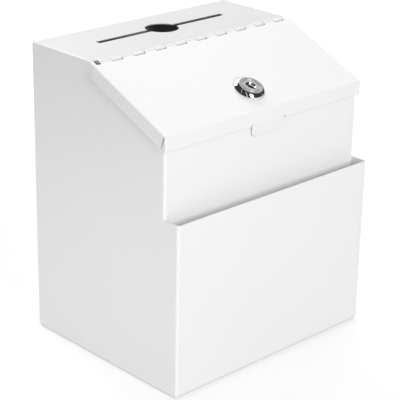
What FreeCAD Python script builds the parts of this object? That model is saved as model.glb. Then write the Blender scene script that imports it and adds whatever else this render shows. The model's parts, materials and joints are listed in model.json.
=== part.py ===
"""Donation box of folded sheet steel: slotted top, hinged sloping lid, keyed cam lock and card pocket.

Millimetres, +Z up. The origin is under the middle of the box, on the surface it stands on, and the
front faces -Y. The lid, the lid's hinge leaf and the whole lock are drawn in the lid's own frame: its
origin is the hinge axis, local +Y runs up the slope, and local +Z leaves the lid's outer face.
"""
import FreeCAD, Part
import os

import Sketcher

DIMENSIONS = [
    ("width", 185.0, "outside width of the body"),
    ("depth", 151.0, "back face to pocket front"),
    ("wall_depth", 137.5, "back face to front wall"),
    ("height", 217.0, "standing surface to top panel"),
    ("gauge", 1.0, "sheet thickness"),
    ("bend", 2.0, "outside radius of the side panels' bends"),
    ("base_bend", 3.5, "outside radius of the bottom's front and back bends"),
    ("seam", 4.0, "width of the side panels' returns"),
    ("seam_rise", 6.5, "height of the welded seams past the bends"),
    ("rim_return", 3.3, "width of the side panels' returns along the slope"),
    ("rim_gap", 0.5, "lid's inner face to the body's sloped rim"),
    ("pocket_height", 127.0, "height of the card pocket's rim"),
    ("top_depth", 62.75, "back face to the top panel's front edge"),
    ("slot_length", 119.0, "note slot, end to end"),
    ("slot_width", 5.3, "note slot, front to back"),
    ("slot_back", 31.5, "back face to the slot's centre line"),
    ("coin_radius", 12.2, "coin hole in the middle of the slot"),
    ("wall_hole_radius", 2.75, "holes for the wall screws"),
    ("wall_hole_pitch", 120.0, "wall hole spacing, both ways"),
    ("wall_hole_mid", 110.0, "height of the middle of the wall holes"),
    ("hinge_back", 65.25, "back face to hinge axis"),
    ("hinge_rise", 214.9, "height of the hinge axis"),
    ("hinge_length", 174.0, "length of both hinge leaves"),
    ("knuckle_gap", 0.3, "end play between knuckles"),
    ("barrel_radius", 2.2, "outside of the knuckles"),
    ("pin_radius", 1.1, "hinge pin"),
    ("pin_play", 0.05, "radial play of the pin in the knuckles"),
    ("pin_proud", 1.5, "pin beyond each end of the leaves"),
    ("leaf", 0.8, "hinge leaf thickness"),
    ("leaf_width", 13.0, "hinge axis to leaf edge"),
    ("leaf_notch", 0.4, "notch in a leaf past the other leaf's knuckles"),
    ("slope", 23.8, "lid slope in degrees"),
    ("lid_width", 188.0, "outside width of the lid"),
    ("lid_back", 3.1, "hinge axis to the lid's back edge"),
    ("lid_length", 80.2, "hinge axis to the lid's front edge"),
    ("lid_rise", 1.93, "hinge axis to the lid's outer face"),
    ("lid_skirt", 9.8, "depth of the lid's side flanges"),
    ("skirt_gap", 1.0, "side flanges' ends behind the front flange's bend"),
    ("lid_lip", 10.0, "depth of the lid's front flange"),
    ("lid_edge", 0.8, "outside radius of the lid's bends"),
    ("tab_width", 30.5, "finger tab"),
    ("tab_drop", 8.0, "finger tab below the front flange"),
    ("tab_corner", 4.0, "finger tab's corner radius"),
    ("tab_tilt", 4.0, "inward tilt of the finger tab in degrees"),
    ("notch_width", 0.8, "relief notches beside the finger tab"),
    ("notch_rise", 1.2, "relief notches above the flange's edge"),
    ("edge_break", 0.3, "small rounding of the finger tab and the pin ends"),
    ("lip_start", 72.4, "hinge axis to the inner edge of the front wall's lip"),
    ("catch_width", 28.0, "lock catch"),
    ("catch_gauge", 1.2, "lock catch sheet"),
    ("catch_reach", 76.2, "hinge axis to the tip of the lock catch"),
    ("catch_drop", 16.1, "lid's outer face to the underside of the catch"),
    ("catch_top", 181.0, "height of the catch's upper edge"),
    ("lock_down", 59.4, "hinge axis to lock axis, down the slope"),
    ("head_radius", 11.35, "lock head at the lid"),
    ("head_height", 3.4, "lock head above the lid"),
    ("head_band", 0.5, "straight edge of the lock head at the lid"),
    ("face_radius", 8.8, "lock head's front face"),
    ("barrel", 9.4, "lock barrel radius"),
    ("barrel_length", 15.5, "lock barrel below the lid's outer face"),
    ("barrel_flat", 16.0, "lock barrel across its flats"),
    ("barrel_play", 0.15, "lock barrel in its hole in the lid"),
    ("plug_radius", 5.55, "lock plug"),
    ("plug_play", 0.05, "radial play of the plug"),
    ("plug_face", 7.4, "radius of the plug's front disc"),
    ("plug_seat", 2.2, "depth of the seat for the plug's front disc"),
    ("plug_set", 0.1, "play round the plug's front disc and behind it"),
    ("groove_radius", 6.25, "ring groove on the plug's face"),
    ("groove", 0.25, "depth and half width of the ring groove"),
    ("dish_radius", 3.7, "dished middle of the plug's face"),
    ("dish_slant", 0.9, "width of the dish's sloping edge"),
    ("dish", 0.9, "depth of the dish"),
    ("key_width", 7.8, "keyway, long way"),
    ("key_thickness", 1.7, "keyway, short way"),
    ("key_depth", 9.5, "keyway below the lid's outer face"),
    ("key_ward", 1.5, "keyway's side groove, from the middle"),
    ("key_ward_width", 2.6, "keyway's side groove"),
    ("keyway_angle", -62.0, "keyway's direction in degrees, from +X"),
    ("wafer_pitch", 2.1, "wafer spacing along the plug"),
    ("wafer_top", 0.4, "height of the first wafer above the lid's outer face"),
    ("wafer_length", 9.7, "wafer"),
    ("wafer_width", 4.8, "wafer"),
    ("wafer_gauge", 0.9, "wafer"),
    ("wafer_play", 0.05, "wafer in its slot, each side"),
    ("window_length", 6.0, "wafer's key window"),
    ("window_width", 3.0, "wafer's key window"),
    ("lug_width", 1.3, "wafer's spring lug"),
    ("lug_reach", 4.0, "wafer's spring lug, from the middle"),
    ("spring_radius", 0.5, "wafer spring"),
    ("spring_wire", 0.2, "wafer spring"),
    ("spring_length", 2.9, "wafer spring"),
    ("spring_offset", 3.4, "wafer spring from the plug's middle plane"),
    ("nut_flats", 22.0, "lock nut across flats"),
    ("nut_height", 3.0, "lock nut"),
    ("nut_chamfer", 0.4, "rounding of the lock nut's corners"),
    ("nut_play", 0.05, "lock nut round the barrel"),
    ("washer", 1.0, "toothed washer, stop washer"),
    ("washer_play", 0.3, "toothed washer round the barrel"),
    ("tooth_gap", 1.4, "gap between the toothed washer's teeth"),
    ("tooth", 1.0, "length of the toothed washer's teeth"),
    ("lug_depth", 2.4, "stop lug under the barrel, across the wall"),
    ("lug_length", 3.0, "stop lug under the barrel"),
    ("stop_gap", 2.1, "edge of the stop washer's gap, past the middle"),
    ("stop_play", 0.05, "stop washer under the barrel"),
    ("stop_hub", 6.5, "round middle of the stop washer, inside the stop lug"),
    ("drive", 6.0, "square on the plug's tail"),
    ("drive_play", 0.05, "square holes round the tail"),
    ("cam_gauge", 1.5, "cam thickness"),
    ("cam_reach", 23.5, "lock axis to cam tip"),
    ("cam_width", 11.0, "cam width at its tip"),
    ("cam_hub", 8.0, "cam radius round the square"),
    ("ring_radius", 5.0, "plain washer under the screw"),
    ("ring_gauge", 0.8, "plain washer under the screw"),
    ("ring_play", 0.15, "plain washer round the screw"),
    ("screw_radius", 1.45, "cam screw thread"),
    ("screw_play", 0.05, "cam screw in its hole"),
    ("screw_length", 8.0, "cam screw below its head"),
    ("screw_head", 2.9, "cam screw head radius"),
    ("screw_head_height", 2.0, "cam screw head"),
    ("screw_dome", 0.7, "rounding of the cam screw's head"),
    ("recess_width", 0.8, "cross recess in the screw head"),
    ("recess_length", 4.0, "cross recess in the screw head"),
    ("recess_depth", 0.9, "cross recess in the screw head"),
]

WAFERS = 5
KNUCKLES = 9
WASHER_TEETH = 16
HEAD_STEPS = 5
CLOSE = 0.01

doc = FreeCAD.newDocument("donation_box")
sheet = doc.addObject("Spreadsheet::Sheet", "Dims")
for row, (alias, size, note) in enumerate(DIMENSIONS, 1):
    sheet.set(f"A{row}", alias)
    sheet.set(f"B{row}", str(size))
    sheet.setAlias(f"B{row}", alias)
    sheet.set(f"C{row}", note)
doc.recompute()

EXTRA = "5"
FAR = "20"
BACK = "(Dims.depth / 2)"
FRONT = "(-Dims.depth / 2)"
WALL = "(Dims.depth / 2 - Dims.wall_depth)"
TOP_EDGE = "(Dims.depth / 2 - Dims.top_depth)"
HALF = "(Dims.width / 2)"
PANEL = "(Dims.width / 2 - Dims.seam)"
HINGE_Y = "(Dims.depth / 2 - Dims.hinge_back)"
RIM = "(Dims.gauge + Dims.rim_gap - Dims.lid_rise)"
CATCH = "(Dims.catch_drop - Dims.lid_rise)"
LIP_Y = f"({HINGE_Y} - Dims.lip_start * cos(Dims.slope) + {RIM} * sin(Dims.slope))"
CATCH_Y = f"({HINGE_Y} - Dims.catch_reach * cos(Dims.slope) + {CATCH} * sin(Dims.slope))"
PITCH = f"(Dims.hinge_length / {2 * KNUCKLES})"


def sloped(y, below):
    """Height, at y, of the plane parallel to the lid and the given distance below the hinge axis."""
    return f"(Dims.hinge_rise + ({y} - {HINGE_Y}) * tan(Dims.slope) - ({below}) / cos(Dims.slope))"


# ---------------------------------------------------------------- drawing helpers

SUBPARTS = []

def bind(item, **expressions):
    """Bind properties to expressions; a name's double underscore stands for a dot."""
    for name, expression in expressions.items():
        item.setExpression(name.replace("__", "."), str(expression))
    return item


def box(name, low, high):
    """A box between two corners, each coordinate an expression."""
    item = doc.addObject("Part::Box", name)
    for side, axis, start, end in zip(("Length", "Width", "Height"), "xyz", low, high):
        item.setExpression(side, f"({end}) - ({start})")
        item.setExpression(f"Placement.Base.{axis}", str(start))
    return item


def cylinder(name, radius, length, base=("0", "0", "0"), turn=(0, 0, 0)):
    """A cylinder along Z from its base point, or along another way by yaw, pitch and roll."""
    item = doc.addObject("Part::Cylinder", name)
    item.Placement.Rotation = FreeCAD.Rotation(*turn)
    bind(item, Radius=radius, Height=length)
    for axis, start in zip("xyz", base):
        item.setExpression(f"Placement.Base.{axis}", str(start))
    return item


def fuse(name, *pieces):
    item = doc.addObject("Part::MultiFuse", name)
    item.Shapes = list(pieces)
    item.Refine = True
    return item


def cut(name, base, *tools):
    item = doc.addObject("Part::Cut", name)
    item.Base = base
    item.Tool = tools[0] if len(tools) == 1 else fuse(name + "_tools", *tools)
    item.Refine = True
    return item


def common(name, first, second):
    item = doc.addObject("Part::Common", name)
    item.Base = first
    item.Tool = second
    item.Refine = True
    return item


def sketch(body, name, plane):
    """An empty sketch on one of the body's own origin planes."""
    item = body.newObject("Sketcher::SketchObject", name)
    support = next(part for part in body.Origin.OriginFeatures if part.Role == plane)
    item.AttachmentSupport = [(support, "")]
    item.MapMode = "FlatFace"
    return item


def outline(item, points):
    """A closed outline whose every corner is held by expressions."""
    doc.recompute()
    here = [tuple(float(item.evalExpression(place)) for place in point) for point in points]
    count = len(points)
    first = item.GeometryCount
    for index in range(count):
        start = FreeCAD.Vector(*here[index], 0)
        end = FreeCAD.Vector(*here[(index + 1) % count], 0)
        item.addGeometry(Part.LineSegment(start, end))
    for index in range(count):
        after = first + (index + 1) % count
        item.addConstraint(Sketcher.Constraint("Coincident", first + index, 2, after, 1))
    for index, point in enumerate(points):
        for kind, size, expression in zip(("DistanceX", "DistanceY"), here[index], point):
            held = item.addConstraint(Sketcher.Constraint(kind, -1, 1, first + index, 1, size))
            item.setExpression(f"Constraints[{held}]", str(expression))
    return item


def circle(item, radius):
    """A circle round the sketch's origin."""
    size = float(item.evalExpression(radius))
    index = item.addGeometry(Part.Circle(FreeCAD.Vector(0, 0, 0), FreeCAD.Vector(0, 0, 1), size))
    item.addConstraint(Sketcher.Constraint("Coincident", index, 3, -1, 1))
    held = item.addConstraint(Sketcher.Constraint("Radius", index, size))
    item.setExpression(f"Constraints[{held}]", str(radius))
    return item


def new_body(name):
    return doc.addObject("PartDesign::Body", name)


def pad(body, profile, length):
    """Pad a profile half each way."""
    item = body.newObject("PartDesign::Pad", profile.Name + "_pad")
    item.Profile = profile
    item.Midplane = True
    bind(item, Length=length)
    doc.recompute()
    return item


def pocket(body, profile, length):
    """Pocket a profile half each way, and check that it cuts."""
    before = body.Shape.Volume
    item = body.newObject("PartDesign::Pocket", profile.Name + "_pocket")
    item.Profile = profile
    item.Midplane = True
    bind(item, Length=length)
    doc.recompute()
    if body.Shape.Volume > before - CLOSE:
        raise RuntimeError(f"{item.Name} cuts nothing")
    return item


def revolve(body, name, points):
    """Revolve a half section, given as radius and height, about Z."""
    profile = outline(sketch(body, name, "XZ_Plane"), points)
    item = body.newObject("PartDesign::Revolution", name + "_turned")
    item.Profile = profile
    item.ReferenceAxis = (profile, ["V_Axis"])
    item.Angle = 360
    doc.recompute()
    return item


def fillet(body, name, radius, wanted):
    """Round the edges of the body's tip that the test picks out."""
    tip = body.Tip
    picked = [f"Edge{i}" for i, edge in enumerate(tip.Shape.Edges, 1) if wanted(edge.BoundBox)]
    if not picked:
        raise RuntimeError(f"{name} finds no edge")
    item = body.newObject("PartDesign::Fillet", name)
    item.Base = (tip, picked)
    bind(item, Radius=radius)
    doc.recompute()
    return item


def near(size, expression):
    return abs(size - float(sheet.evalExpression(str(expression)))) < CLOSE


def along_x(bounds, y, z):
    """True for a straight edge along X at this y and z."""
    flat = bounds.YLength < CLOSE and bounds.ZLength < CLOSE
    return flat and near(bounds.YMin, y) and near(bounds.ZMin, z)


def label(item, name, frame=None):
    """Name a finished sub-part and stand it in its frame."""
    item.Label = name
    if frame is not None:
        item.Placement = frame
    SUBPARTS.append(item)
    return item


def value(expression):
    return float(sheet.evalExpression(expression))


LID_FRAME = FreeCAD.Placement(
    FreeCAD.Vector(0, value(HINGE_Y), value("Dims.hinge_rise")),
    FreeCAD.Rotation(FreeCAD.Vector(1, 0, 0), value("Dims.slope")),
)
HINGE_FRAME = FreeCAD.Placement(LID_FRAME.Base, FreeCAD.Rotation())
LOCK_FRAME = LID_FRAME.multiply(
    FreeCAD.Placement(
        FreeCAD.Vector(0, -value("Dims.lock_down"), value("Dims.lid_rise")), FreeCAD.Rotation()
    )
)
KEY_TURN = FreeCAD.Placement(
    FreeCAD.Vector(), FreeCAD.Rotation(FreeCAD.Vector(0, 0, 1), value("Dims.keyway_angle"))
)


# ---------------------------------------------------------------- body sheets

def form(name, side, points, walls, bends, edge_radius):
    """A prism of the box's side view, with its X edges bent and the two walls' upright edges rounded."""
    body = new_body(name)
    pad(body, outline(sketch(body, name + "_view", "YZ_Plane"), points), f"2 * {side}")
    for index, (radius, corners) in enumerate(bends, 1):
        fillet(
            body, f"{name}_bend{index}", radius,
            lambda b: any(along_x(b, y, z) for y, z in corners),
        )

    def side_edge(bounds):
        at_side = near(abs(bounds.XMin), side) and bounds.XLength < CLOSE
        at_wall = any(near(bounds.YMax, y) and near(bounds.YMin, y) for y in walls)
        return at_side and at_wall and bounds.ZLength > CLOSE

    fillet(body, name + "_sides", edge_radius, side_edge)
    return body


def outer_form():
    top = "Dims.height"
    rim = "Dims.pocket_height"
    points = [
        (BACK, "0"), (FRONT, "0"), (FRONT, rim), (WALL, rim), (WALL, sloped(WALL, RIM)),
        (TOP_EDGE, sloped(TOP_EDGE, RIM)), (TOP_EDGE, top), (BACK, top),
    ]
    bends = [
        ("Dims.base_bend", [(BACK, "0"), (FRONT, "0")]),
        ("Dims.bend", [(BACK, top)]),
    ]
    return form("outer_form", HALF, points, (BACK, WALL), bends, "Dims.bend")


def inner_form():
    """The hollow: one gauge inside the outer form, and open at the lid and at the pocket's mouth."""
    top = "(Dims.height - Dims.gauge)"
    over = f"(Dims.height + {EXTRA})"
    rim = "Dims.pocket_height"
    back = f"({BACK} - Dims.gauge)"
    front = f"({FRONT} + Dims.gauge)"
    wall = f"({WALL} + Dims.gauge)"
    points = [
        (back, "Dims.gauge"), (front, "Dims.gauge"), (front, f"({rim} + {EXTRA})"),
        (WALL, f"({rim} + {EXTRA})"), (WALL, rim), (wall, rim),
        (wall, over), (TOP_EDGE, over), (TOP_EDGE, top), (back, top),
    ]
    bends = [
        ("Dims.base_bend - Dims.gauge", [(back, "Dims.gauge"), (front, "Dims.gauge")]),
        ("Dims.bend - Dims.gauge", [(back, top)]),
    ]
    side = f"({HALF} - Dims.gauge)"
    return form("inner_form", side, points, (back, wall), bends, "Dims.bend - Dims.gauge")


def rim_returns():
    """The side panels' inward returns along the slope, under the lid."""
    body = new_body("rim_slab")
    start, lower = f"({WALL} + Dims.bend)", f"({RIM} + Dims.gauge)"
    points = [
        (start, sloped(start, RIM)), (TOP_EDGE, sloped(TOP_EDGE, RIM)),
        (TOP_EDGE, sloped(TOP_EDGE, lower)), (start, sloped(start, lower)),
    ]
    pad(body, outline(sketch(body, "rim_view", "YZ_Plane"), points), "Dims.width")
    inner = f"({HALF} - Dims.rim_return)"
    middle = box("rim_middle", (f"(-{inner})", FRONT, "0"), (inner, BACK, f"(Dims.height + {EXTRA})"))
    return cut("rim_returns", body, middle)


def body_sheets():
    """The welded body's bent sheets, all parts of one shell."""
    shell = fuse("shell", cut("hollow_shell", outer_form(), inner_form()), rim_returns())
    low, high = f"({FRONT} - {EXTRA})", f"({BACK} + {EXTRA})"
    under, over = f"(-{EXTRA})", f"(Dims.height + {EXTRA})"

    left = box("left_region", (f"(-{HALF} - {EXTRA})", low, under), (f"(-{PANEL})", high, over))
    label(common("side_panel_left", shell, left), "side_panel_left")
    right = box("right_region", (PANEL, low, under), (f"({HALF} + {EXTRA})", high, over))
    label(common("side_panel_right", shell, right), "side_panel_right")

    back = box(
        "back_region",
        (f"(-{PANEL})", f"({BACK} - Dims.gauge)", "Dims.seam_rise"),
        (PANEL, high, "(Dims.height - Dims.seam_rise)"),
    )
    holes = []
    for side in (-1, 1):
        for row in (-1, 1):
            holes.append(cylinder(
                f"wall_hole_{len(holes) + 1}", "Dims.wall_hole_radius", f"2 * {EXTRA}",
                (f"{side} * Dims.wall_hole_pitch / 2", f"{BACK} + {EXTRA}",
                 f"Dims.wall_hole_mid + {row} * Dims.wall_hole_pitch / 2"),
                (0, 0, 90),
            ))
    label(cut("back_panel", common("back_sheet", shell, back), *holes), "back_panel")

    base = box("base_region", (f"(-{PANEL})", low, under), (PANEL, high, "Dims.seam_rise"))
    pocket_front = box(
        "pocket_region",
        (f"(-{PANEL})", low, under),
        (PANEL, f"({FRONT} + Dims.base_bend)", "Dims.pocket_height"),
    )
    label(common("pocket_and_base", shell, fuse("base_regions", base, pocket_front)), "pocket_and_base")

    top = box(
        "top_region", (f"(-{PANEL})", TOP_EDGE, "(Dims.height - Dims.seam_rise)"), (PANEL, high, over)
    )
    slot_y = f"({BACK} - Dims.slot_back)"
    slot = box(
        "note_slot",
        ("-Dims.slot_length / 2", f"{slot_y} - Dims.slot_width / 2", f"Dims.height - {EXTRA}"),
        ("Dims.slot_length / 2", f"{slot_y} + Dims.slot_width / 2", over),
    )
    coin = cylinder(
        "coin_hole", "Dims.coin_radius", f"2 * {EXTRA}", ("0", slot_y, f"Dims.height - {EXTRA}")
    )
    label(cut("top_panel", common("top_sheet", shell, top), slot, coin), "top_panel")


def front_wall():
    """The wall behind the pocket, with a lip along the slope for the lid to close on."""
    body = new_body("front_upper")
    wall = f"({WALL} + Dims.gauge)"
    lower = f"({RIM} + Dims.gauge)"
    tip = f"({LIP_Y} + Dims.gauge * sin(Dims.slope))"
    points = [
        (WALL, "Dims.pocket_height"), (WALL, sloped(WALL, RIM)), (LIP_Y, sloped(LIP_Y, RIM)),
        (tip, sloped(tip, lower)), (wall, sloped(wall, lower)), (wall, "Dims.pocket_height"),
    ]
    pad(body, outline(sketch(body, "front_view", "YZ_Plane"), points), f"2 * {PANEL}")
    fillet(body, "front_bend", "Dims.bend", lambda b: along_x(b, *points[1]))
    fillet(body, "front_bend_inside", "Dims.bend - Dims.gauge", lambda b: along_x(b, *points[4]))
    lower_plate = box(
        "front_lower",
        (f"(-{HALF} + Dims.gauge)", WALL, "Dims.bend"),
        (f"({HALF} - Dims.gauge)", wall, "Dims.pocket_height"),
    )
    label(fuse("front_wall", body, lower_plate), "front_wall")


def lock_catch():
    """A bracket on the front wall whose tongue, parallel to the lid, the cam turns under."""
    body = new_body("lock_catch")
    face = f"({WALL} + Dims.gauge)"
    inside = f"({face} + Dims.catch_gauge)"
    upper = f"({CATCH} - Dims.catch_gauge)"
    tip = f"({CATCH_Y} - Dims.catch_gauge * sin(Dims.slope))"
    points = [
        (face, "Dims.catch_top"), (face, sloped(face, CATCH)), (CATCH_Y, sloped(CATCH_Y, CATCH)),
        (tip, sloped(tip, upper)), (inside, sloped(inside, upper)), (inside, "Dims.catch_top"),
    ]
    pad(body, outline(sketch(body, "catch_view", "YZ_Plane"), points), "Dims.catch_width")
    label(body, "lock_catch")


# ---------------------------------------------------------------- hinge

def hinge_leaf(name, away, height, first_notch):
    """A rolled leaf: barrel and plate, with the other leaf's knuckles notched out."""
    body = new_body(name)
    doc.recompute()
    ring = sketch(body, name + "_ring", "YZ_Plane")
    circle(ring, "Dims.barrel_radius")
    circle(ring, "Dims.pin_radius + Dims.pin_play")
    pad(body, ring, "Dims.hinge_length")
    plate = sketch(body, name + "_plate", "YZ_Plane")
    inside_barrel = f"({away} * (Dims.barrel_radius + Dims.pin_radius + Dims.pin_play) / 2)"
    far_edge = f"({away} * Dims.leaf_width)"
    top = f"({height} + Dims.leaf)"
    outline(plate, [(inside_barrel, height), (far_edge, height), (far_edge, top), (inside_barrel, top)])
    pad(body, plate, "Dims.hinge_length")
    notch = sketch(body, name + "_notch", "XY_Plane")
    start = f"(-Dims.hinge_length / 2 + {first_notch} * {PITCH} - Dims.knuckle_gap / 2)"
    end = f"({start} + {PITCH} + Dims.knuckle_gap)"
    deep = f"({away} * (Dims.barrel_radius + Dims.leaf_notch))"
    clear = f"({-away} * 2 * Dims.barrel_radius)"
    outline(notch, [(start, deep), (end, deep), (end, clear), (start, clear)])
    first = pocket(body, notch, "4 * Dims.barrel_radius")
    pattern = body.newObject("PartDesign::LinearPattern", name + "_notches")
    pattern.Originals = [first]
    pattern.Direction = (notch, ["H_Axis"])
    pattern.Occurrences = KNUCKLES
    bind(pattern, Length=f"2 * {PITCH} * {KNUCKLES - 1}")
    body.Tip = pattern
    doc.recompute()
    return body


def hinge():
    under_top = "(Dims.height - Dims.gauge - Dims.leaf - Dims.hinge_rise)"
    under_lid = "(Dims.lid_rise - Dims.gauge - Dims.leaf)"
    label(hinge_leaf("hinge_body_leaf", 1, under_top, 0), "hinge_body_leaf", HINGE_FRAME)
    label(hinge_leaf("hinge_lid_leaf", -1, under_lid, 1), "hinge_lid_leaf", LID_FRAME)

    pin = new_body("hinge_pin")
    doc.recompute()
    section = circle(sketch(pin, "pin_section", "YZ_Plane"), "Dims.pin_radius")
    pad(pin, section, "Dims.hinge_length + 2 * Dims.pin_proud")
    fillet(pin, "pin_ends", "Dims.edge_break", lambda b: b.XLength < CLOSE)
    label(pin, "hinge_pin", HINGE_FRAME)


# ---------------------------------------------------------------- lid

def lid_plate():
    """The lid's bent sheet: sloped plate, front flange hanging straight down, side flanges, and
    tongues that run on to its own hinge leaf's knuckles.
    """
    rise, gauge, length, lip = "Dims.lid_rise", "Dims.gauge", "Dims.lid_length", "Dims.lid_lip"
    run, fall = "sin(Dims.slope)", "cos(Dims.slope)"
    back = "(-Dims.lid_back)"
    bottom_y = f"(-{length} - {lip} * {run})"
    bottom_z = f"({rise} - {lip} * {fall})"
    points = [
        (back, rise), (f"(-{length})", rise), (bottom_y, bottom_z),
        (f"({bottom_y} + {gauge} * {fall})", f"({bottom_z} - {gauge} * {run})"),
        (f"(-{length} + {gauge} * (1 - {run}) / {fall})", f"({rise} - {gauge})"),
        (back, f"({rise} - {gauge})"),
    ]
    plate = new_body("lid_sheet")
    pad(plate, outline(sketch(plate, "lid_view", "YZ_Plane"), points), "Dims.lid_width")
    half = "(Dims.lid_width / 2)"
    front = f"(-{length} + Dims.lid_edge + Dims.skirt_gap)"
    foot = f"({rise} - Dims.lid_skirt)"
    skirts = [
        box("lid_skirt_left", (f"(-{half})", front, foot), (f"(-{half} + {gauge})", back, rise)),
        box("lid_skirt_right", (f"({half} - {gauge})", front, foot), (half, back, rise)),
    ]
    tongues = []
    for index in range(KNUCKLES):
        left = f"(-Dims.hinge_length / 2 + {2 * index} * {PITCH} + Dims.knuckle_gap / 2)"
        tongues.append(box(
            f"lid_tongue_{index + 1}",
            (left, back, f"({rise} - {gauge})"), (f"{left} + {PITCH} - Dims.knuckle_gap", "0", rise),
        ))
    barrel = cylinder(
        "lid_barrel", "Dims.barrel_radius", "2 * Dims.width", ("-Dims.width", "0", "0"), (0, 90, 0)
    )
    tongues_cut = cut("lid_tongues", fuse("lid_tongue_blanks", *tongues), barrel)
    folded = fuse("lid_folded", plate, *skirts)
    doc.recompute()

    outer_half, outer_rise = value(half), value(rise)
    front_y, foot_y = value(f"-{length}"), value(bottom_y)

    def bend(bounds):
        on_side = abs(abs(bounds.XMin) - outer_half) < CLOSE and bounds.XLength < CLOSE
        top_run = abs(bounds.ZMin - outer_rise) < CLOSE and bounds.ZLength < CLOSE
        down_run = abs(bounds.YMax - front_y) < CLOSE and abs(bounds.YMin - foot_y) < CLOSE
        whole_width = bounds.XLength > outer_half
        front_run = whole_width and top_run and abs(bounds.YMin - front_y) < CLOSE
        return front_run or on_side and (down_run or top_run and bounds.YLength > CLOSE)

    rounded = doc.addObject("Part::Fillet", "lid_rounded")
    rounded.Base = folded
    radius = value("Dims.lid_edge")
    rounded.Edges = [
        (index, radius, radius)
        for index, edge in enumerate(folded.Shape.Edges, 1)
        if bend(edge.BoundBox)
    ]
    doc.recompute()
    return fuse("lid_bent", rounded, tongues_cut), bottom_y, bottom_z


def finger_tab(bottom_y, bottom_z):
    """The tab below the front flange, and the relief notches beside it."""
    gauge, run, fall = "Dims.gauge", "sin(Dims.slope)", "cos(Dims.slope)"
    tab = new_body("finger_tab")
    half = "(Dims.tab_width / 2)"
    points = [
        (f"(-{half})", "0"), (f"(-{half})", "-Dims.tab_drop"), (half, "-Dims.tab_drop"), (half, "0"),
    ]
    pad(tab, outline(sketch(tab, "tab_view", "XZ_Plane"), points), gauge)
    fillet(
        tab, "tab_corners", "Dims.tab_corner",
        lambda b: b.YLength > CLOSE and b.XLength < CLOSE and near(b.ZMin, "-Dims.tab_drop"),
    )
    fillet(tab, "tab_edges", "Dims.edge_break", lambda b: b.YLength < CLOSE and b.ZMax < -CLOSE)
    place = FreeCAD.Vector(
        0,
        value(f"{bottom_y} + {gauge} * {fall} / 2"),
        value(f"{bottom_z} - {gauge} * {run} / 2"),
    )
    across = FreeCAD.Vector(1, 0, 0)
    upright = -value("Dims.slope")
    tab.Placement = FreeCAD.Placement(place, FreeCAD.Rotation(across, upright + value("Dims.tab_tilt")))
    notches = []
    for side in (-1, 1):
        notch = doc.addObject("Part::Box", f"tab_notch_{len(notches) + 1}")
        bind(notch, Length="Dims.notch_width", Width="4 * Dims.gauge", Height="2 * Dims.notch_rise")
        middle = side * value(f"{half} + Dims.notch_width / 2")
        corner = FreeCAD.Vector(
            value("-Dims.notch_width / 2"), value("-2 * Dims.gauge"), value("-Dims.notch_rise")
        )
        stand = FreeCAD.Placement(
            place + FreeCAD.Vector(middle, 0, 0), FreeCAD.Rotation(across, upright)
        )
        notch.Placement = stand.multiply(FreeCAD.Placement(corner, FreeCAD.Rotation()))
        notches.append(notch)
    return tab, notches


def lid_panel():
    sheet_lid, bottom_y, bottom_z = lid_plate()
    tab, notches = finger_tab(bottom_y, bottom_z)
    round_hole = cylinder(
        "lock_hole", "Dims.barrel + Dims.barrel_play", f"2 * {EXTRA}",
        ("0", "-Dims.lock_down", f"-{EXTRA}"),
    )
    side = "(Dims.barrel_flat / 2 + Dims.barrel_play)"
    between_flats = box(
        "lock_hole_flats",
        (f"-{side}", f"-Dims.lock_down - {FAR}", f"-{EXTRA}"),
        (side, f"-Dims.lock_down + {FAR}", EXTRA),
    )
    lock_hole = common("lock_cutout", round_hole, between_flats)
    panel = cut("lid_panel", fuse("lid_with_tab", sheet_lid, tab), lock_hole, *notches)
    label(panel, "lid_panel", LID_FRAME)


# ---------------------------------------------------------------- lock

def flats(name, across, low, high):
    """Two boxes that leave this much between flats."""
    left = box(f"{name}_left", (f"-{FAR}", f"-{FAR}", low), (f"-{across} / 2", FAR, high))
    right = box(f"{name}_right", (f"{across} / 2", f"-{FAR}", low), (FAR, FAR, high))
    return left, right


def lock_housing():
    """Threaded barrel with two flats, and a head whose skirt is a quarter ellipse."""
    body = new_body("housing_turned")
    top = "Dims.head_height"
    step = "(Dims.head_height - Dims.plug_seat)"
    bore = "(Dims.plug_radius + Dims.plug_play)"
    seat = "(Dims.plug_face + Dims.plug_set)"
    foot = "(-Dims.barrel_length)"
    skirt = []
    for index in range(HEAD_STEPS + 1):
        angle = f"({index} * 90 / {HEAD_STEPS})"
        skirt.append((
            f"Dims.face_radius + (Dims.head_radius - Dims.face_radius) * cos({angle})",
            f"Dims.head_band + ({top} - Dims.head_band) * sin({angle})",
        ))
    revolve(body, "housing_half", [
        (bore, foot), ("Dims.barrel", foot), ("Dims.barrel", "0"), ("Dims.head_radius", "0"),
        *skirt, (seat, top), (seat, step), (bore, step),
    ])
    outer = "(Dims.barrel - Dims.groove)"
    stop = box(
        "stop_lug",
        (f"{outer} - Dims.lug_depth", "-Dims.lug_length / 2", f"{foot} - Dims.washer"),
        (outer, "Dims.lug_length / 2", foot),
    )
    turned = cut("housing_cut", body, *flats("housing_flat", "Dims.barrel_flat", f"{foot} - {EXTRA}", "0"))
    label(fuse("lock_housing", turned, stop), "lock_housing", LOCK_FRAME)


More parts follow.
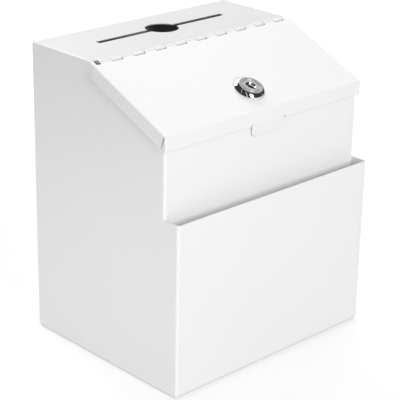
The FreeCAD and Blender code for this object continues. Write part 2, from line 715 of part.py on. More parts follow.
def lock_fixings():
    """Toothed washer and hexagon nut that clamp the barrel to the lid."""
    washer = new_body("washer_turned")
    low, high = "(-Dims.gauge - Dims.washer)", "(-Dims.gauge)"
    bore, rim = "(Dims.barrel + Dims.washer_play)", "Dims.head_radius"
    revolve(washer, "washer_half", [(bore, low), (rim, low), (rim, high), (bore, high)])
    root, past = f"({rim} - Dims.tooth)", f"({rim} + Dims.tooth)"
    side = "(Dims.tooth_gap / 2)"
    notch = outline(sketch(washer, "washer_notch", "XY_Plane"), [
        (root, f"-{side}"), (past, f"-{side}"), (past, side), (root, side),
    ])
    first = pocket(washer, notch, "6 * Dims.washer")
    teeth = washer.newObject("PartDesign::PolarPattern", "washer_teeth")
    teeth.Originals = [first]
    teeth.Axis = (notch, ["N_Axis"])
    teeth.Angle = 360
    teeth.Occurrences = WASHER_TEETH
    washer.Tip = teeth
    doc.recompute()
    label(washer, "lock_washer", LOCK_FRAME)

    corner = "Dims.nut_flats / sqrt(3)"
    hexagon = doc.addObject("Part::Prism", "nut_hexagon")
    hexagon.Polygon = 6
    bind(hexagon, Circumradius=corner, Height="Dims.nut_height")
    hexagon.setExpression("Placement.Base.z", "-Dims.gauge - Dims.washer - Dims.nut_height")
    bore = cylinder("nut_bore", "Dims.barrel + Dims.nut_play", FAR, ("0", "0", f"-{FAR}"))
    rounding = cylinder("nut_rounding", f"{corner} - Dims.nut_chamfer", FAR, ("0", "0", f"-{FAR}"))
    label(cut("lock_nut", common("nut_blank", hexagon, rounding), bore), "lock_nut", LOCK_FRAME)


def wafer_heights():
    return [f"(Dims.wafer_top - Dims.wafer_pitch * {index})" for index in range(WAFERS)]


def middled(name, length, width, height, low, high):
    """A box this long and wide about the lock's axis, and from low to high about a height."""
    return box(
        name,
        (f"-({length}) / 2", f"-({width}) / 2", f"{height} + ({low})"),
        (f"({length}) / 2", f"({width}) / 2", f"{height} + ({high})"),
    )


def lock_plug():
    """The plug, its keyway and wafer slots turned to the key's angle, and its tail square with the lock."""
    body = new_body("plug_turned")
    top, foot = "(Dims.head_height - Dims.plug_set)", "(-Dims.barrel_length)"
    under = "(Dims.head_height - Dims.plug_seat + Dims.plug_set)"
    ring, groove = "Dims.groove_radius", "Dims.groove"
    dish_foot = f"({top} - Dims.dish)"
    revolve(body, "plug_half", [
        ("0", foot), ("Dims.plug_radius", foot), ("Dims.plug_radius", under), ("Dims.plug_face", under),
        ("Dims.plug_face", top), (f"{ring} + {groove}", top), (ring, f"{top} - {groove}"),
        (f"{ring} - {groove}", top), ("Dims.dish_radius", top),
        ("Dims.dish_radius - Dims.dish_slant", dish_foot), ("0", dish_foot),
    ])
    tail = middled(
        "plug_tail", "Dims.drive", "Dims.drive", foot,
        "-Dims.washer - Dims.cam_gauge + Dims.plug_set", "0",
    )
    screw_hole = cylinder(
        "screw_hole", "Dims.screw_radius + Dims.screw_play", "Dims.screw_length + Dims.washer",
        ("0", "0", f"{foot} - Dims.washer - Dims.cam_gauge"),
    )
    long_cut, short_cut = "Dims.key_width", "Dims.key_thickness"
    keyed = [
        middled("keyway", long_cut, short_cut, "0", "-Dims.key_depth", EXTRA),
        box(
            "keyway_ward",
            ("-Dims.key_ward_width / 2", "-Dims.key_ward", "-Dims.key_depth"),
            ("Dims.key_ward_width / 2", "0", EXTRA),
        ),
    ]
    half_slot = "(Dims.wafer_gauge / 2 + Dims.wafer_play)"
    slot_width = "Dims.wafer_width + 4 * Dims.wafer_play"
    for index, height in enumerate(wafer_heights(), 1):
        keyed.append(middled(
            f"wafer_slot_{index}", "2 * Dims.plug_face", slot_width, height, f"-{half_slot}", half_slot
        ))
        keyed.append(box(
            f"lug_slot_{index}",
            ("-2 * Dims.wafer_play", "0", f"{height} - {half_slot}"),
            (
                "Dims.lug_width + 2 * Dims.wafer_play", "Dims.lug_reach + 2 * Dims.wafer_play",
                f"{height} + {half_slot}",
            ),
        ))
        keyed.append(cylinder(
            f"spring_hole_{index}", "Dims.spring_radius + Dims.wafer_play",
            "Dims.spring_length + 2 * Dims.wafer_play",
            ("-Dims.spring_length - Dims.wafer_play", "Dims.spring_offset", height), (0, 90, 0),
        ))
    key_cuts = fuse("key_cuts", *keyed)
    key_cuts.Placement = KEY_TURN
    label(cut("plug_shaped", fuse("plug_blank", body, tail), screw_hole, key_cuts), "lock_plug", LOCK_FRAME)


def wafers():
    """Flat wafers, held level with the plug as the key would hold them, and their springs."""
    plates = []
    coils = []
    half = "(Dims.wafer_gauge / 2)"
    for index, height in enumerate(wafer_heights(), 1):
        blank = middled(
            f"wafer_blank_{index}", "Dims.wafer_length", "Dims.wafer_width", height, f"-{half}", half
        )
        lug = box(
            f"wafer_lug_{index}",
            ("0", "0", f"{height} - {half}"), ("Dims.lug_width", "Dims.lug_reach", f"{height} + {half}"),
        )
        window = middled(
            f"wafer_window_{index}", "Dims.window_length", "Dims.window_width", height,
            f"-2 * {half}", f"2 * {half}",
        )
        plates.append(cut(f"wafer_{index}", fuse(f"wafer_solid_{index}", blank, lug), window))
        start = ("-Dims.spring_length", "Dims.spring_offset", height)
        tube = cylinder(f"coil_tube_{index}", "Dims.spring_radius", "Dims.spring_length", start, (0, 90, 0))
        core = cylinder(
            f"coil_core_{index}", "Dims.spring_radius - Dims.spring_wire", "Dims.spring_length",
            start, (0, 90, 0),
        )
        coils.append(cut(f"coil_{index}", tube, core))
    for name, group in (("lock_wafers", plates), ("wafer_springs", coils)):
        compound = doc.addObject("Part::Compound", name)
        compound.Links = group
        label(compound, name, LOCK_FRAME.multiply(KEY_TURN))


def square_hole(name):
    side = "(Dims.drive + 2 * Dims.drive_play)"
    return middled(name, side, side, "0", f"-2 * {FAR}", "0")


def cam_group():
    """Stop washer, cam, plain washer and screw on the plug's tail."""
    washer_top = "(-Dims.barrel_length - Dims.stop_play)"
    washer_foot = "(-Dims.barrel_length - Dims.washer)"
    cam_foot = f"({washer_foot} - Dims.cam_gauge)"
    at_washer = ("0", "0", washer_foot)
    thickness = f"{washer_top} - {washer_foot}"
    disc = cylinder("stop_disc", "Dims.barrel - 2 * Dims.groove", thickness, at_washer)
    hub_disc = cylinder("stop_hub", "Dims.stop_hub", thickness, at_washer)
    quarter = box(
        "stop_gap", ("-Dims.stop_gap", "-Dims.stop_gap", f"-2 * {FAR}"), (FAR, FAR, "0")
    )
    blank = fuse("stop_blank", cut("stop_ring", disc, quarter), hub_disc)
    label(cut("stop_washer", blank, square_hole("stop_square")), "stop_washer", LOCK_FRAME)

    hub = cylinder("cam_hub", "Dims.cam_hub", "Dims.cam_gauge", ("0", "0", cam_foot))
    tip_x = "(Dims.cam_reach - Dims.cam_width / 2)"
    arm = box(
        "cam_arm", ("0", "-Dims.cam_width / 2", cam_foot), (tip_x, "Dims.cam_width / 2", washer_foot)
    )
    tip = cylinder("cam_tip", "Dims.cam_width / 2", "Dims.cam_gauge", (tip_x, "0", cam_foot))
    cam = cut("lock_cam", fuse("cam_blank", hub, arm, tip), square_hole("cam_square"))
    label(cam, "lock_cam", LOCK_FRAME)

    ring_foot = f"({cam_foot} - Dims.ring_gauge)"
    ring = cylinder("ring_outer", "Dims.ring_radius", "Dims.ring_gauge", ("0", "0", ring_foot))
    ring_hole = cylinder(
        "ring_hole", "Dims.screw_radius + Dims.ring_play", "Dims.ring_gauge", ("0", "0", ring_foot)
    )
    label(cut("cam_washer", ring, ring_hole), "cam_washer", LOCK_FRAME)

    screw = new_body("screw_turned")
    head_foot = f"({ring_foot} - Dims.screw_head_height)"
    tip_z = f"({ring_foot} + Dims.screw_length)"
    revolve(screw, "screw_half", [
        ("0", head_foot), ("Dims.screw_head - Dims.screw_dome", head_foot),
        ("Dims.screw_head", f"{head_foot} + Dims.screw_dome"), ("Dims.screw_head", ring_foot),
        ("Dims.screw_radius", ring_foot), ("Dims.screw_radius", tip_z), ("0", tip_z),
    ])
    recess = ("Dims.recess_length", "Dims.recess_width")
    across = middled("recess_across", *recess, head_foot, "-Dims.recess_depth", "Dims.recess_depth")
    along = middled("recess_along", *recess[::-1], head_foot, "-Dims.recess_depth", "Dims.recess_depth")
    label(cut("cam_screw", screw, across, along), "cam_screw", LOCK_FRAME)


# ---------------------------------------------------------------- build and write

def check_and_write():
    doc.recompute()
    for item in doc.Objects:
        if "Invalid" in item.State or "Error" in item.State:
            raise RuntimeError(f"{item.Label} failed to build: {item.State}")
    os.makedirs("parts", exist_ok=True)
    for item in SUBPARTS:
        shape = item.Shape
        if shape.isNull() or not shape.isValid() or not shape.Solids:
            raise RuntimeError(f"{item.Label} has no valid solid")
        shape.exportStep(f"parts/{item.Label}.step")
        print(f"{item.Label}: {len(shape.Solids)} solid(s), {shape.Volume:.1f} mm3")


body_sheets()
front_wall()
lock_catch()
hinge()
lid_panel()
lock_housing()
lock_fixings()
lock_plug()
wafers()
cam_group()
check_and_write()
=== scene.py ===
"""White sheet-steel donation box: looks, fine lock pieces, light and camera round the CAD frame."""

import json
import math

import bpy
from mathutils import Matrix, Vector

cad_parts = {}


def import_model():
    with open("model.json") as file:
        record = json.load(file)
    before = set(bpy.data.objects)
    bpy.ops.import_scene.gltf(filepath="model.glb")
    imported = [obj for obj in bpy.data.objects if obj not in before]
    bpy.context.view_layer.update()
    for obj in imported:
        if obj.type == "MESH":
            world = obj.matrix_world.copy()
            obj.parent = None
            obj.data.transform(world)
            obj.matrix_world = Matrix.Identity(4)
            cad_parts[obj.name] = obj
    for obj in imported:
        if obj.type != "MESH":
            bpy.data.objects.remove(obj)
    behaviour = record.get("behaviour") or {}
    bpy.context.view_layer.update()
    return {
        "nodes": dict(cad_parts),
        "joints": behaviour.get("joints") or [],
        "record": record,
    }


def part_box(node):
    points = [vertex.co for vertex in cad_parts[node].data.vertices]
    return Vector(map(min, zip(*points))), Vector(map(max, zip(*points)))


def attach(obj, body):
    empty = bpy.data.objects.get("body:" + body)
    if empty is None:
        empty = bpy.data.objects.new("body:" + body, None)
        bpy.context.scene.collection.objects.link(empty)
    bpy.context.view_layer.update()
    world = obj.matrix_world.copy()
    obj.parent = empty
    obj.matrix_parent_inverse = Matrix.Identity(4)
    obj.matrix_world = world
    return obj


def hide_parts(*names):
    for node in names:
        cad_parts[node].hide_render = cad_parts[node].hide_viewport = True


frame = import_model()
nodes = frame["nodes"]
joints = {joint["name"]: joint for joint in frame["joints"]}

MM = 0.001
GAUGE = 1.0 * MM
BEND = 2.0 * MM
CORNER_CUT = (BEND - GAUGE / 2) * (2 - math.sqrt(2))
HINGE = Vector(joints["lid_hinge"]["pos_m"])
OUT = -Vector(joints["lock_turn"]["axis"]).normalized()
ACROSS = Vector((1, 0, 0))
UP_SLOPE = OUT.cross(ACROSS)
LOCK_AXIS = Vector(joints["lock_turn"]["pos_m"])
SLOPE = math.atan2(UP_SLOPE.z, UP_SLOPE.y)
LID_RISE = OUT.dot(LOCK_AXIS - HINGE)


# ---------------------------------------------------------------- material helpers

def material(name):
    """A new material, its node tree and its surface shader."""
    mat = bpy.data.materials.new(name)
    mat.use_nodes = True
    tree = mat.node_tree
    return mat, tree, tree.nodes["Principled BSDF"]


def add(tree, kind, **inputs):
    """A new node; an input's underscores stand for spaces."""
    node = tree.nodes.new(kind)
    for key, value in inputs.items():
        node.inputs[key.replace("_", " ")].default_value = value
    return node


def texture_space(tree):
    return tree.nodes.new("ShaderNodeTexCoord").outputs["Object"]


def ramp(tree, source, low, high, start=0.0, end=1.0):
    """A number between low and high that follows the source from start to end."""
    node = tree.nodes.new("ShaderNodeMapRange")
    node.inputs["From Min"].default_value = start
    node.inputs["From Max"].default_value = end
    node.inputs["To Min"].default_value = low
    node.inputs["To Max"].default_value = high
    tree.links.new(source, node.inputs["Value"])
    return node.outputs["Result"]


def step(tree, source, place, rising):
    """0 or 1 either side of a place, with a soft edge a fifth of a sheet thick."""
    soft = GAUGE / 10
    low, high = (0.0, 1.0) if rising else (1.0, 0.0)
    return ramp(tree, source, low, high, place - soft, place + soft)


def combine(tree, operation, first, *others):
    """The first value combined with each of the others in turn."""
    result = first
    for other in others:
        node = tree.nodes.new("ShaderNodeMath")
        node.operation = operation
        tree.links.new(result, node.inputs[0])
        if isinstance(other, (int, float)):
            node.inputs[1].default_value = other
        else:
            tree.links.new(other, node.inputs[1])
        result = node.outputs[0]
    return result


def mix_colour(tree, factor, first, second):
    """Two colours mixed; each is a tuple or another node's output."""
    node = tree.nodes.new("ShaderNodeMix")
    node.data_type = "RGBA"
    for socket, colour in ((node.inputs[6], first), (node.inputs[7], second)):
        if isinstance(colour, tuple):
            socket.default_value = (*colour, 1)
        else:
            tree.links.new(colour, socket)
    tree.links.new(factor, node.inputs[0])
    return node.outputs[2]


def noise(tree, space, scale, detail=3.0, roughness=0.55):
    """Smooth noise from 0 to 1; scale is in features a metre."""
    node = add(tree, "ShaderNodeTexNoise", Scale=scale, Detail=detail, Roughness=roughness)
    tree.links.new(space, node.inputs["Vector"])
    return node.outputs["Fac"]


def turned_space(tree, origin, tilt):
    """Object space seen from a tilted frame, as x, y, z outputs."""
    node = tree.nodes.new("ShaderNodeMapping")
    node.vector_type = "TEXTURE"
    node.inputs["Location"].default_value = origin
    node.inputs["Rotation"].default_value = (tilt, 0, 0)
    tree.links.new(texture_space(tree), node.inputs["Vector"])
    parts = tree.nodes.new("ShaderNodeSeparateXYZ")
    tree.links.new(node.outputs["Vector"], parts.inputs["Vector"])
    return parts.outputs


# ---------------------------------------------------------------- powder coat

def inside(tree, under_lid):
    """1 inside the closed box and 0 outside; where it is 1 the coat is painted grey as shade.

    The border is the sheets' middle planes, with the corners cut off where the sheets bend. Only
    the roof's is higher, so that the cut edges of the slot count as inside. under_lid is the
    border's height over the hinge axis, square to the lid.
    """
    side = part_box("side_panel_right")[1].x - GAUGE / 2
    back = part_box("back_panel")[1].y - GAUGE / 2
    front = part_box("front_wall")[0].y + GAUGE / 2
    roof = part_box("top_panel")[1].z - GAUGE / 4
    roof_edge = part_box("top_panel")[0].y + GAUGE
    x, y, z = turned_space(tree, (0, 0, 0), 0)
    over_lid = turned_space(tree, HINGE, SLOPE)[2]
    aside = combine(tree, "ABSOLUTE", x, 0.0)
    corners = [
        step(tree, combine(tree, "ADD", aside, z), side + roof - CORNER_CUT, False),
        step(tree, combine(tree, "ADD", aside, y), side + back - CORNER_CUT, False),
        step(tree, combine(tree, "SUBTRACT", aside, y), side - front - CORNER_CUT, False),
    ]
    walls = combine(
        tree, "MULTIPLY",
        step(tree, aside, side, False), step(tree, y, front, True), step(tree, y, back, False),
        step(tree, z, GAUGE / 2, True), *corners,
    )
    under_top = combine(tree, "MULTIPLY", step(tree, z, roof, False), step(tree, y, roof_edge, True))
    under_slope = combine(
        tree, "MULTIPLY", step(tree, over_lid, under_lid, False), step(tree, y, HINGE.y + GAUGE, False)
    )
    behind_pin = combine(tree, "MULTIPLY", step(tree, z, HINGE.z, False), step(tree, y, HINGE.y, True))
    below = combine(tree, "MAXIMUM", under_top, under_slope, behind_pin)
    return combine(tree, "MULTIPLY", walls, below)


WHITE = ((0.845, 0.848, 0.852), (0.865, 0.866, 0.868))
# painted shade: the patchy grey laid on inside the box, in the slot's cut edges and in the hinge's
# gaps
PAINTED_SHADE_GREY = ((0.20, 0.205, 0.21), (0.36, 0.362, 0.365))
ROUNDED = 0.4 * MM
PEEL_DEPTH = 0.05 * MM


def powder_coat(name, under_lid):
    """Semi-gloss white outside; grey inside the box, in the slot's cut edges and in the hinge's gaps,
    as painted shade.
    """
    mat, tree, shader = material(name)
    space = texture_space(tree)
    drift = noise(tree, space, 14.0, 2.0)
    patches = noise(tree, space, 38.0, 4.0, 0.6)
    peel = noise(tree, space, 420.0, 2.0, 0.5)
    grain = noise(tree, space, 1500.0, 2.0, 0.6)
    white = mix_colour(tree, drift, *WHITE)
    # painted shade: the grey mixed over the white wherever the inside mask is 1
    shade_grey = mix_colour(tree, patches, *PAINTED_SHADE_GREY)
    shade_mask = inside(tree, under_lid)
    tree.links.new(mix_colour(tree, shade_mask, white, shade_grey), shader.inputs["Base Color"])
    gloss = ramp(tree, combine(tree, "ADD", drift, shade_mask), 0.34, 0.52, 0.3, 1.6)
    tree.links.new(gloss, shader.inputs["Roughness"])
    edge = add(tree, "ShaderNodeBevel", Radius=ROUNDED)
    edge.samples = 6
    relief = combine(tree, "ADD", peel, combine(tree, "MULTIPLY", grain, 0.35))
    bump = add(tree, "ShaderNodeBump", Strength=0.16, Distance=PEEL_DEPTH)
    tree.links.new(relief, bump.inputs["Height"])
    tree.links.new(edge.outputs["Normal"], bump.inputs["Normal"])
    tree.links.new(bump.outputs["Normal"], shader.inputs["Normal"])
    shader.inputs["IOR"].default_value = 1.5
    return mat


# ---------------------------------------------------------------- metals

GRAIN_DEPTH = 0.03 * MM
RING_DEPTH = 0.01 * MM
SATIN = ((0.37, 0.37, 0.38), (0.45, 0.45, 0.46))
POLISHED = ((0.72, 0.72, 0.73), (0.80, 0.80, 0.81))
# painted shade: near black for the keyway's depths
KEYWAY_SHADE_COLOUR = (0.05, 0.048, 0.045)
# where one finish of the lock's face fades into the next, and where the keyway's painted shade begins:
# a radius, then two heights over the lid
DISH_EDGE = (3.65 * MM, 3.7 * MM)
DISH_WALL = (2.42 * MM, 2.48 * MM)
KEYWAY_TOP = (2.2 * MM, 2.35 * MM)


def metal(name, dark, light, roughness, scale, bump_strength=0.1):
    """Plated or bare metal: colour, gloss and a fine relief follow one noise."""
    mat, tree, shader = material(name)
    space = texture_space(tree)
    grain = noise(tree, space, scale, 4.0, 0.6)
    handling = noise(tree, space, scale / 12, 3.0, 0.5)
    tree.links.new(mix_colour(tree, grain, dark, light), shader.inputs["Base Color"])
    low, high = roughness
    half_grain = combine(tree, "MULTIPLY", grain, 0.5)
    worn = combine(tree, "ADD", half_grain, combine(tree, "MULTIPLY", handling, 0.5))
    tree.links.new(ramp(tree, worn, low, high, 0.35, 0.65), shader.inputs["Roughness"])
    bump = add(tree, "ShaderNodeBump", Strength=bump_strength, Distance=GRAIN_DEPTH)
    tree.links.new(grain, bump.inputs["Height"])
    tree.links.new(bump.outputs["Normal"], shader.inputs["Normal"])
    shader.inputs["Metallic"].default_value = 1.0
    return mat


def turned_face():
    """Satin chrome with the fine rings that a lathe leaves, a polished dish in the middle, and painted
    shade down in the keyway.
    """
    mat, tree, shader = material("turned_face")
    x, y, z = turned_space(tree, LOCK_AXIS, SLOPE)
    squares = combine(
        tree, "ADD", combine(tree, "MULTIPLY", x, x), combine(tree, "MULTIPLY", y, y)
    )
    radius = combine(tree, "POWER", squares, 0.5)
    rings = tree.nodes.new("ShaderNodeTexNoise")
    rings.noise_dimensions = "1D"
    rings.inputs["Scale"].default_value = 9000.0
    rings.inputs["Detail"].default_value = 2.0
    tree.links.new(radius, rings.inputs["W"])
    cloud = noise(tree, texture_space(tree), 900.0, 3.0)
    tone = combine(tree, "MULTIPLY", combine(tree, "ADD", rings.outputs["Fac"], cloud), 0.5)
    middle = ramp(tree, radius, 1.0, 0.0, *DISH_EDGE)
    dish = combine(tree, "MULTIPLY", middle, ramp(tree, z, 0.0, 1.0, *DISH_WALL))
    # painted shade: the keyway below its top is coloured near black
    keyway_shade = combine(tree, "MULTIPLY", middle, ramp(tree, z, 1.0, 0.0, *KEYWAY_TOP))
    face = mix_colour(tree, dish, mix_colour(tree, tone, *SATIN), mix_colour(tree, tone, *POLISHED))
    tree.links.new(mix_colour(tree, keyway_shade, face, KEYWAY_SHADE_COLOUR), shader.inputs["Base Color"])
    rough = ramp(tree, tone, 0.34, 0.42, 0.3, 0.7)
    smoother = combine(tree, "MULTIPLY", dish, 0.24)
    tree.links.new(combine(tree, "SUBTRACT", rough, smoother), shader.inputs["Roughness"])
    bump = add(tree, "ShaderNodeBump", Strength=0.12, Distance=RING_DEPTH)
    tree.links.new(rings.outputs["Fac"], bump.inputs["Height"])
    tree.links.new(bump.outputs["Normal"], shader.inputs["Normal"])
    shader.inputs["Metallic"].default_value = 1.0
    return mat


MATERIALS = {
    "powder_coat": powder_coat("powder_coat_body", LID_RISE - 2 * GAUGE),
    "lock_chrome": metal("lock_chrome", (0.70, 0.70, 0.72), (0.80, 0.80, 0.81), (0.05, 0.10), 700),
    "plug_face": turned_face(),
    "zinc_plate": metal("zinc_plate", (0.56, 0.58, 0.60), (0.68, 0.69, 0.70), (0.22, 0.34), 500),
    "bright_steel": metal("bright_steel", (0.50, 0.50, 0.51), (0.62, 0.62, 0.63), (0.20, 0.30), 900),
    "wafer_brass": metal("wafer_brass", (0.66, 0.50, 0.24), (0.78, 0.62, 0.33), (0.20, 0.30), 800),
}
# The lid's and hinge leaves' coats paint their shade below their own heights over the hinge axis; the
# leaves' line puts painted shade on the barrel's front, as dark dashes along the hinge.
LID_COAT = powder_coat("powder_coat_lid", LID_RISE - GAUGE / 2)
LEAF_COAT = powder_coat("powder_coat_hinge", LID_RISE - 0.75 * GAUGE)
COATS = {"lid_panel": LID_COAT, "hinge_lid_leaf": LEAF_COAT, "hinge_body_leaf": LEAF_COAT}
slot_of = {part["node"]: part["material_slot"] for part in frame["record"]["subparts"]}
for name, node in nodes.items():
    node.data.materials.clear()
    node.data.materials.append(COATS.get(name, MATERIALS[slot_of[name]]))


# ---------------------------------------------------------------- lock pieces

LOCK_FRAME = Matrix.Translation(LOCK_AXIS) @ Matrix((ACROSS, UP_SLOPE, OUT)).transposed().to_4x4()
# the lock's sizes in its own frame: x across the lid, y up the slope, z out of the lid's face
ROUND = 144
SHARP = math.radians(35)
PITCH = 1.0 * MM
THREAD = 0.5 * MM
ROWS_A_TURN = 8
CREST = 9.4 * MM
FLAT = 8.0 * MM
HEAD = 3.4 * MM
BAND = 0.5 * MM
HEAD_RADIUS = 11.35 * MM
FACE_RADIUS = 8.8 * MM
SEAT_RADIUS = 7.5 * MM
SEAT = 1.2 * MM
BORE = 5.6 * MM
FOOT = -15.5 * MM
EASE = 0.12 * MM
SKIRT_BOW = 0.3 * MM
NUT_TOP = -2.0 * MM
NUT_FOOT = -5.0 * MM
NUT_FLAT = 11.0 * MM
NUT_PLAY = 0.05 * MM
NUT_CHAMFER = 2.2
NUT_LEAD = 0.9 * MM
LUG_INNER = 6.75 * MM
LUG_OUTER = 9.15 * MM
LUG_SIDE = 1.5 * MM
LUG_DROP = 0.9 * MM


def arc(centre, radius, start, end, steps):
    """Points on an ellipse's arc; radius is one number or two, and angles are in degrees."""
    across, along = radius if isinstance(radius, tuple) else (radius, radius)
    points = []
    for index in range(steps + 1):
        angle = math.radians(start + (end - start) * index / steps)
        points.append((centre[0] + across * math.cos(angle), centre[1] + along * math.sin(angle)))
    return points


def bowed(first, last, bulge, steps):
    """Points on a shallow curve from first to last that stands out to the right by bulge."""
    run, rise = last[0] - first[0], last[1] - first[1]
    length = math.hypot(run, rise)
    points = []
    for index in range(steps + 1):
        part = index / steps
        out = 4 * bulge * part * (1 - part) / length
        points.append((first[0] + run * part + rise * out, first[1] + rise * part - run * out))
    return points


def thread(angle, height):
    """How deep the thread is cut, from 0 along a flat crest to 1 along a flat root."""
    turn = (height / PITCH - angle / (2 * math.pi)) % 1.0
    return min(1.0, max(0.0, 1.6 * abs(2 * turn - 1) - 0.3))


def ring_mesh(name, section, body, mats, pick=None):
    """A closed ring: section(angle) gives the outline's (radius, height) points at each angle.

    pick, if given, turns a face's index and the outline's length into the face's material index.
    """
    verts = []
    rings = []
    for index in range(ROUND):
        angle = 2 * math.pi * index / ROUND
        outline = section(angle)
        rings.append(range(len(verts), len(verts) + len(outline)))
        for radius, height in outline:
            across, along = radius * math.cos(angle), radius * math.sin(angle)
            verts.append(LOCK_FRAME @ Vector((across, along, height)))
    count = len(rings[0])
    faces = []
    for index in range(ROUND):
        here, there = rings[index], rings[(index + 1) % ROUND]
        for point in range(count):
            following = (point + 1) % count
            faces.append((here[point], there[point], there[following], here[following]))
    picks = pick and [pick(face, count) for face in range(len(faces))]
    return finish(name, verts, faces, body, mats, picks)


def finish(name, verts, faces, body, mats, picks=None):
    """Make an object of the mesh, smooth but for its sharp edges, that rides a body."""
    mesh = bpy.data.meshes.new(name)
    mesh.from_pydata(verts, [], faces)
    for mat in mats:
        mesh.materials.append(mat)
    if picks:
        mesh.polygons.foreach_set("material_index", picks)
    mesh.shade_smooth()
    mesh.set_sharp_from_angle(angle=SHARP)
    mesh.update()
    piece = bpy.data.objects.new(name, mesh)
    bpy.context.scene.collection.objects.link(piece)
    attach(piece, body)
    return piece


def lock_housing():
    """Threaded barrel with two flats, and a chromed head with a satin face."""
    rows = round(-FOOT / PITCH * ROWS_A_TURN)
    head = [(HEAD_RADIUS - EASE, 0.0), (HEAD_RADIUS, EASE), (HEAD_RADIUS, BAND)]
    skirt = bowed((HEAD_RADIUS, BAND), (FACE_RADIUS, HEAD), SKIRT_BOW, 14)[1:]
    face = arc((SEAT_RADIUS + EASE, HEAD - EASE), EASE, 90, 180, 3)
    seat = [(SEAT_RADIUS, SEAT), (BORE, SEAT), (BORE, FOOT + EASE), (BORE + EASE, FOOT)]

    def section(angle):
        limit = FLAT / max(abs(math.cos(angle)), 1e-6)
        barrel = []
        for row in range(rows + 1):
            height = FOOT + row * PITCH / ROWS_A_TURN
            ends = min(1.0, (height - FOOT) / PITCH)
            relief = 1.0 if height > -PITCH else thread(angle, height)
            radius = CREST - THREAD * max(relief, 1.0 - ends)
            barrel.append((min(radius, limit), height))
        return barrel + head + skirt + face + seat

    plain = rows + len(head) + len(skirt)
    satin = range(plain, plain + len(face))
    piece = ring_mesh(
        "lock_housing_turned", section, "lid",
        [MATERIALS["lock_chrome"], MATERIALS["plug_face"]],
        lambda face_index, count: int(face_index % count in satin),
    )
    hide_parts("lock_housing")


def lock_nut():
    """Hexagon nut with chamfered corners and a threaded bore."""
    rows = round((NUT_TOP - NUT_FOOT) / PITCH * ROWS_A_TURN)
    sixth = math.pi / 3

    def section(angle):
        corner = NUT_FLAT / math.cos((angle + sixth / 2) % sixth - sixth / 2)
        outside = []
        for part in (0.0, 0.12, 0.3, 0.7, 0.88, 1.0):
            height = NUT_FOOT + (NUT_TOP - NUT_FOOT) * part
            end = min(height - NUT_FOOT, NUT_TOP - height)
            outside.append((min(corner, NUT_FLAT + NUT_CHAMFER * end), height))
        bore = []
        for row in range(rows + 1):
            height = NUT_TOP - row * PITCH / ROWS_A_TURN
            end = min(height - NUT_FOOT, NUT_TOP - height)
            cut = max(1.0 - end / NUT_LEAD, 1.0 - thread(angle, height))
            bore.append((CREST + NUT_PLAY - THREAD * (1.0 - max(cut, 0.0)), height))
        return outside + bore

    piece = ring_mesh("lock_nut_threaded", section, "lid", [MATERIALS["zinc_plate"]])
    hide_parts("lock_nut")


def box_mesh(low, high):
    """Corner points and faces of a plain block."""
    xs, ys, zs = zip(low, high)
    verts = [Vector((x, y, z)) for z in zs for y in ys for x in xs]
    faces = [(0, 2, 3, 1), (4, 5, 7, 6), (0, 1, 5, 4), (2, 6, 7, 3), (0, 4, 6, 2), (1, 3, 7, 5)]
    return verts, faces


def stop_lug():
    """The small lug under the barrel that stops the plug after a quarter turn."""
    verts, faces = box_mesh((LUG_INNER, -LUG_SIDE, FOOT - LUG_DROP), (LUG_OUTER, LUG_SIDE, FOOT))
    verts = [LOCK_FRAME @ vert for vert in verts]
    piece = finish("lock_stop_lug", verts, faces, "lid", [MATERIALS["lock_chrome"]])
    edges = piece.modifiers.new("edges", "BEVEL")
    edges.width = EASE
    edges.segments = 2


KEY_ANGLE = math.radians(-62.0)
WAFERS = 5
WAFER_TOP = 0.4 * MM
WAFER_PITCH = 2.1 * MM
COIL_RADIUS = 0.4 * MM
COIL_WIRE = 0.1 * MM
COIL_LENGTH = 2.9 * MM
COIL_OFFSET = 3.4 * MM
COIL_TURNS = 7
WIRE_SIDES = 8
STEPS_A_TURN = 20


def coil(centre_height):
    """One wafer spring: a wire wound round a line along the lock's own x."""
    verts = []
    steps = COIL_TURNS * STEPS_A_TURN
    length = COIL_LENGTH - 2 * COIL_WIRE
    for index in range(steps + 1):
        turn = 2 * math.pi * index / STEPS_A_TURN
        outward = Vector((0, math.cos(turn), math.sin(turn)))
        place = -COIL_LENGTH + COIL_WIRE + length * index / steps
        middle = Vector((place, COIL_OFFSET, centre_height)) + outward * COIL_RADIUS
        for side in range(WIRE_SIDES):
            angle = 2 * math.pi * side / WIRE_SIDES
            verts.append(middle + COIL_WIRE * (outward * math.cos(angle) + ACROSS * math.sin(angle)))
    first_end = tuple(reversed(range(WIRE_SIDES)))
    last_end = tuple(range(steps * WIRE_SIDES, (steps + 1) * WIRE_SIDES))
    faces = [first_end, last_end]
    for index in range(steps):
        for side in range(WIRE_SIDES):
            here, there = index * WIRE_SIDES, (index + 1) * WIRE_SIDES
            following = (side + 1) % WIRE_SIDES
            faces.append((here + side, here + following, there + following, there + side))
    return verts, faces


def wafer_springs():
    """The wafers' five springs as one piece, turned to the key's angle."""
    turned = LOCK_FRAME @ Matrix.Rotation(KEY_ANGLE, 4, "Z")
    verts = []
    faces = []
    for index in range(WAFERS):
        points, sides = coil(WAFER_TOP - WAFER_PITCH * index)
        start = len(verts)
        verts += [turned @ point for point in points]
        faces += [tuple(corner + start for corner in face) for face in sides]
    mats = [MATERIALS["bright_steel"]]
    piece = finish("wafer_spring_coils", verts, faces, "plug", mats)
    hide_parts("wafer_springs")


lock_housing()
stop_lug()
lock_nut()
wafer_springs()


# ---------------------------------------------------------------- floor, light, camera

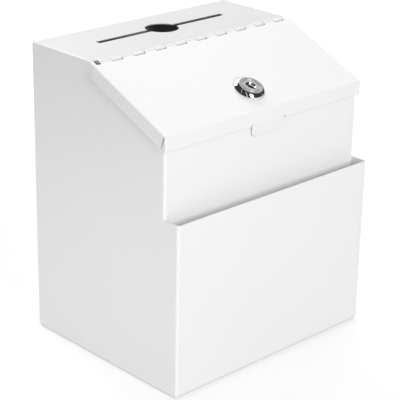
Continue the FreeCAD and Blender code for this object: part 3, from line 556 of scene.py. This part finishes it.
def floor():
    """A pale floor under the box; it glows a little, so it shows as clean white."""
    mesh = bpy.data.meshes.new("floor")
    reach = 6.0
    corners = [(-reach, -reach, 0), (reach, -reach, 0), (reach, reach, 0), (-reach, reach, 0)]
    mesh.from_pydata(corners, [], [(0, 1, 2, 3)])
    plane = bpy.data.objects.new("floor", mesh)
    bpy.context.scene.collection.objects.link(plane)
    mat, tree, shader = material("floor_paint")
    tone = noise(tree, texture_space(tree), 2.0, 1.0)
    pale = mix_colour(tree, tone, (0.93, 0.93, 0.93), (0.95, 0.95, 0.95))
    tree.links.new(pale, shader.inputs["Base Color"])
    shader.inputs["Roughness"].default_value = 0.8
    shader.inputs["Emission Color"].default_value = (1, 1, 1, 1)
    shader.inputs["Emission Strength"].default_value = 0.12
    mesh.materials.append(mat)
    plane.visible_diffuse = False


def area(name, place, target, size, power):
    """A rectangular light at a place, aimed at a target."""
    lamp = bpy.data.lights.new(name, "AREA")
    lamp.shape = "RECTANGLE"
    lamp.size, lamp.size_y = size
    lamp.energy = power
    item = bpy.data.objects.new(name, lamp)
    bpy.context.scene.collection.objects.link(item)
    item.location = place
    item.rotation_mode = "QUATERNION"
    item.rotation_quaternion = (Vector(target) - Vector(place)).to_track_quat("-Z", "Y")


def world(strength, seen_in_metal):
    """A plain sky: one strength for diffuse light, and a darker one that shiny surfaces reflect."""
    sky = bpy.data.worlds.new("studio")
    sky.use_nodes = True
    tree = sky.node_tree
    soft = tree.nodes["Background"]
    soft.inputs["Color"].default_value = (1, 1, 1, 1)
    soft.inputs["Strength"].default_value = strength
    dark = add(tree, "ShaderNodeBackground", Color=(1, 1, 1, 1), Strength=seen_in_metal)
    path = tree.nodes.new("ShaderNodeLightPath")
    mix = tree.nodes.new("ShaderNodeMixShader")
    tree.links.new(path.outputs["Is Glossy Ray"], mix.inputs[0])
    tree.links.new(soft.outputs[0], mix.inputs[1])
    tree.links.new(dark.outputs[0], mix.inputs[2])
    tree.links.new(mix.outputs[0], tree.nodes["World Output"].inputs["Surface"])
    bpy.context.scene.world = sky


def camera(place, heading, down, roll, lens):
    """A camera that looks along +Y turned by heading towards +X, and down; angles in degrees."""
    data = bpy.data.cameras.new("camera")
    data.lens, data.sensor_width = lens, 36.0
    item = bpy.data.objects.new("camera", data)
    bpy.context.scene.collection.objects.link(item)
    item.matrix_world = (
        Matrix.Translation(place)
        @ Matrix.Rotation(math.radians(-heading), 4, "Z")
        @ Matrix.Rotation(math.radians(90 - down), 4, "X")
        @ Matrix.Rotation(math.radians(roll), 4, "Z")
    )
    bpy.context.scene.camera = item


# each light's place, target, size and power: soft boxes, then dim ones that stripe the chrome skirt
BOXES = {
    "front": ((-0.35, -1.9, 0.9), (0, 0, 0.12), (0.55, 0.9), 22.8),
    "front_tall": ((-0.36, -1.95, 1.0), (0, 0, 0.12), (0.45, 1.7), 3.6),
    "upper_right": ((1.4, 0.4, 1.8), (0, 0, 0.1), (1.2, 1.2), 6.0),
    "behind": ((0.4, 1.6, 1.4), (0.3, 0.7, 0), (1.6, 0.8), 19.8),
    "back_right": ((1.1, 0.9, 1.3), (0.05, 0.05, 0.2), (0.8, 0.8), 3.1),
    "low_left": ((-0.42, 0.0, 0.04), (-0.09, 0.0, 0.03), (0.5, 0.08), 0.43),
    "low_corner": ((-0.34, -0.16, 0.03), (-0.09, -0.06, 0.01), (0.25, 0.05), 0.05),
    "strip_near_camera": ((-0.97, -1.06, 1.05), (0, 0, 0.19), (0.07, 1.7), 0.6),
    "strip_left": ((-1.2, -0.13, 1.24), (0, 0, 0.19), (0.06, 1.7), 0.2),
    "panel_right": ((1.6, -0.9, 0.5), (0, 0, 0.19), (0.4, 0.5), 0.12),
}

floor()
world(0.43, 0.05)
for name, (place, target, size, power) in BOXES.items():
    area(name, place, target, size, power)
camera((-0.6666, -0.6910, 0.4865), heading=43.916, down=22.038, roll=1.099, lens=128.75)
bpy.context.scene.view_settings.view_transform = "Standard"
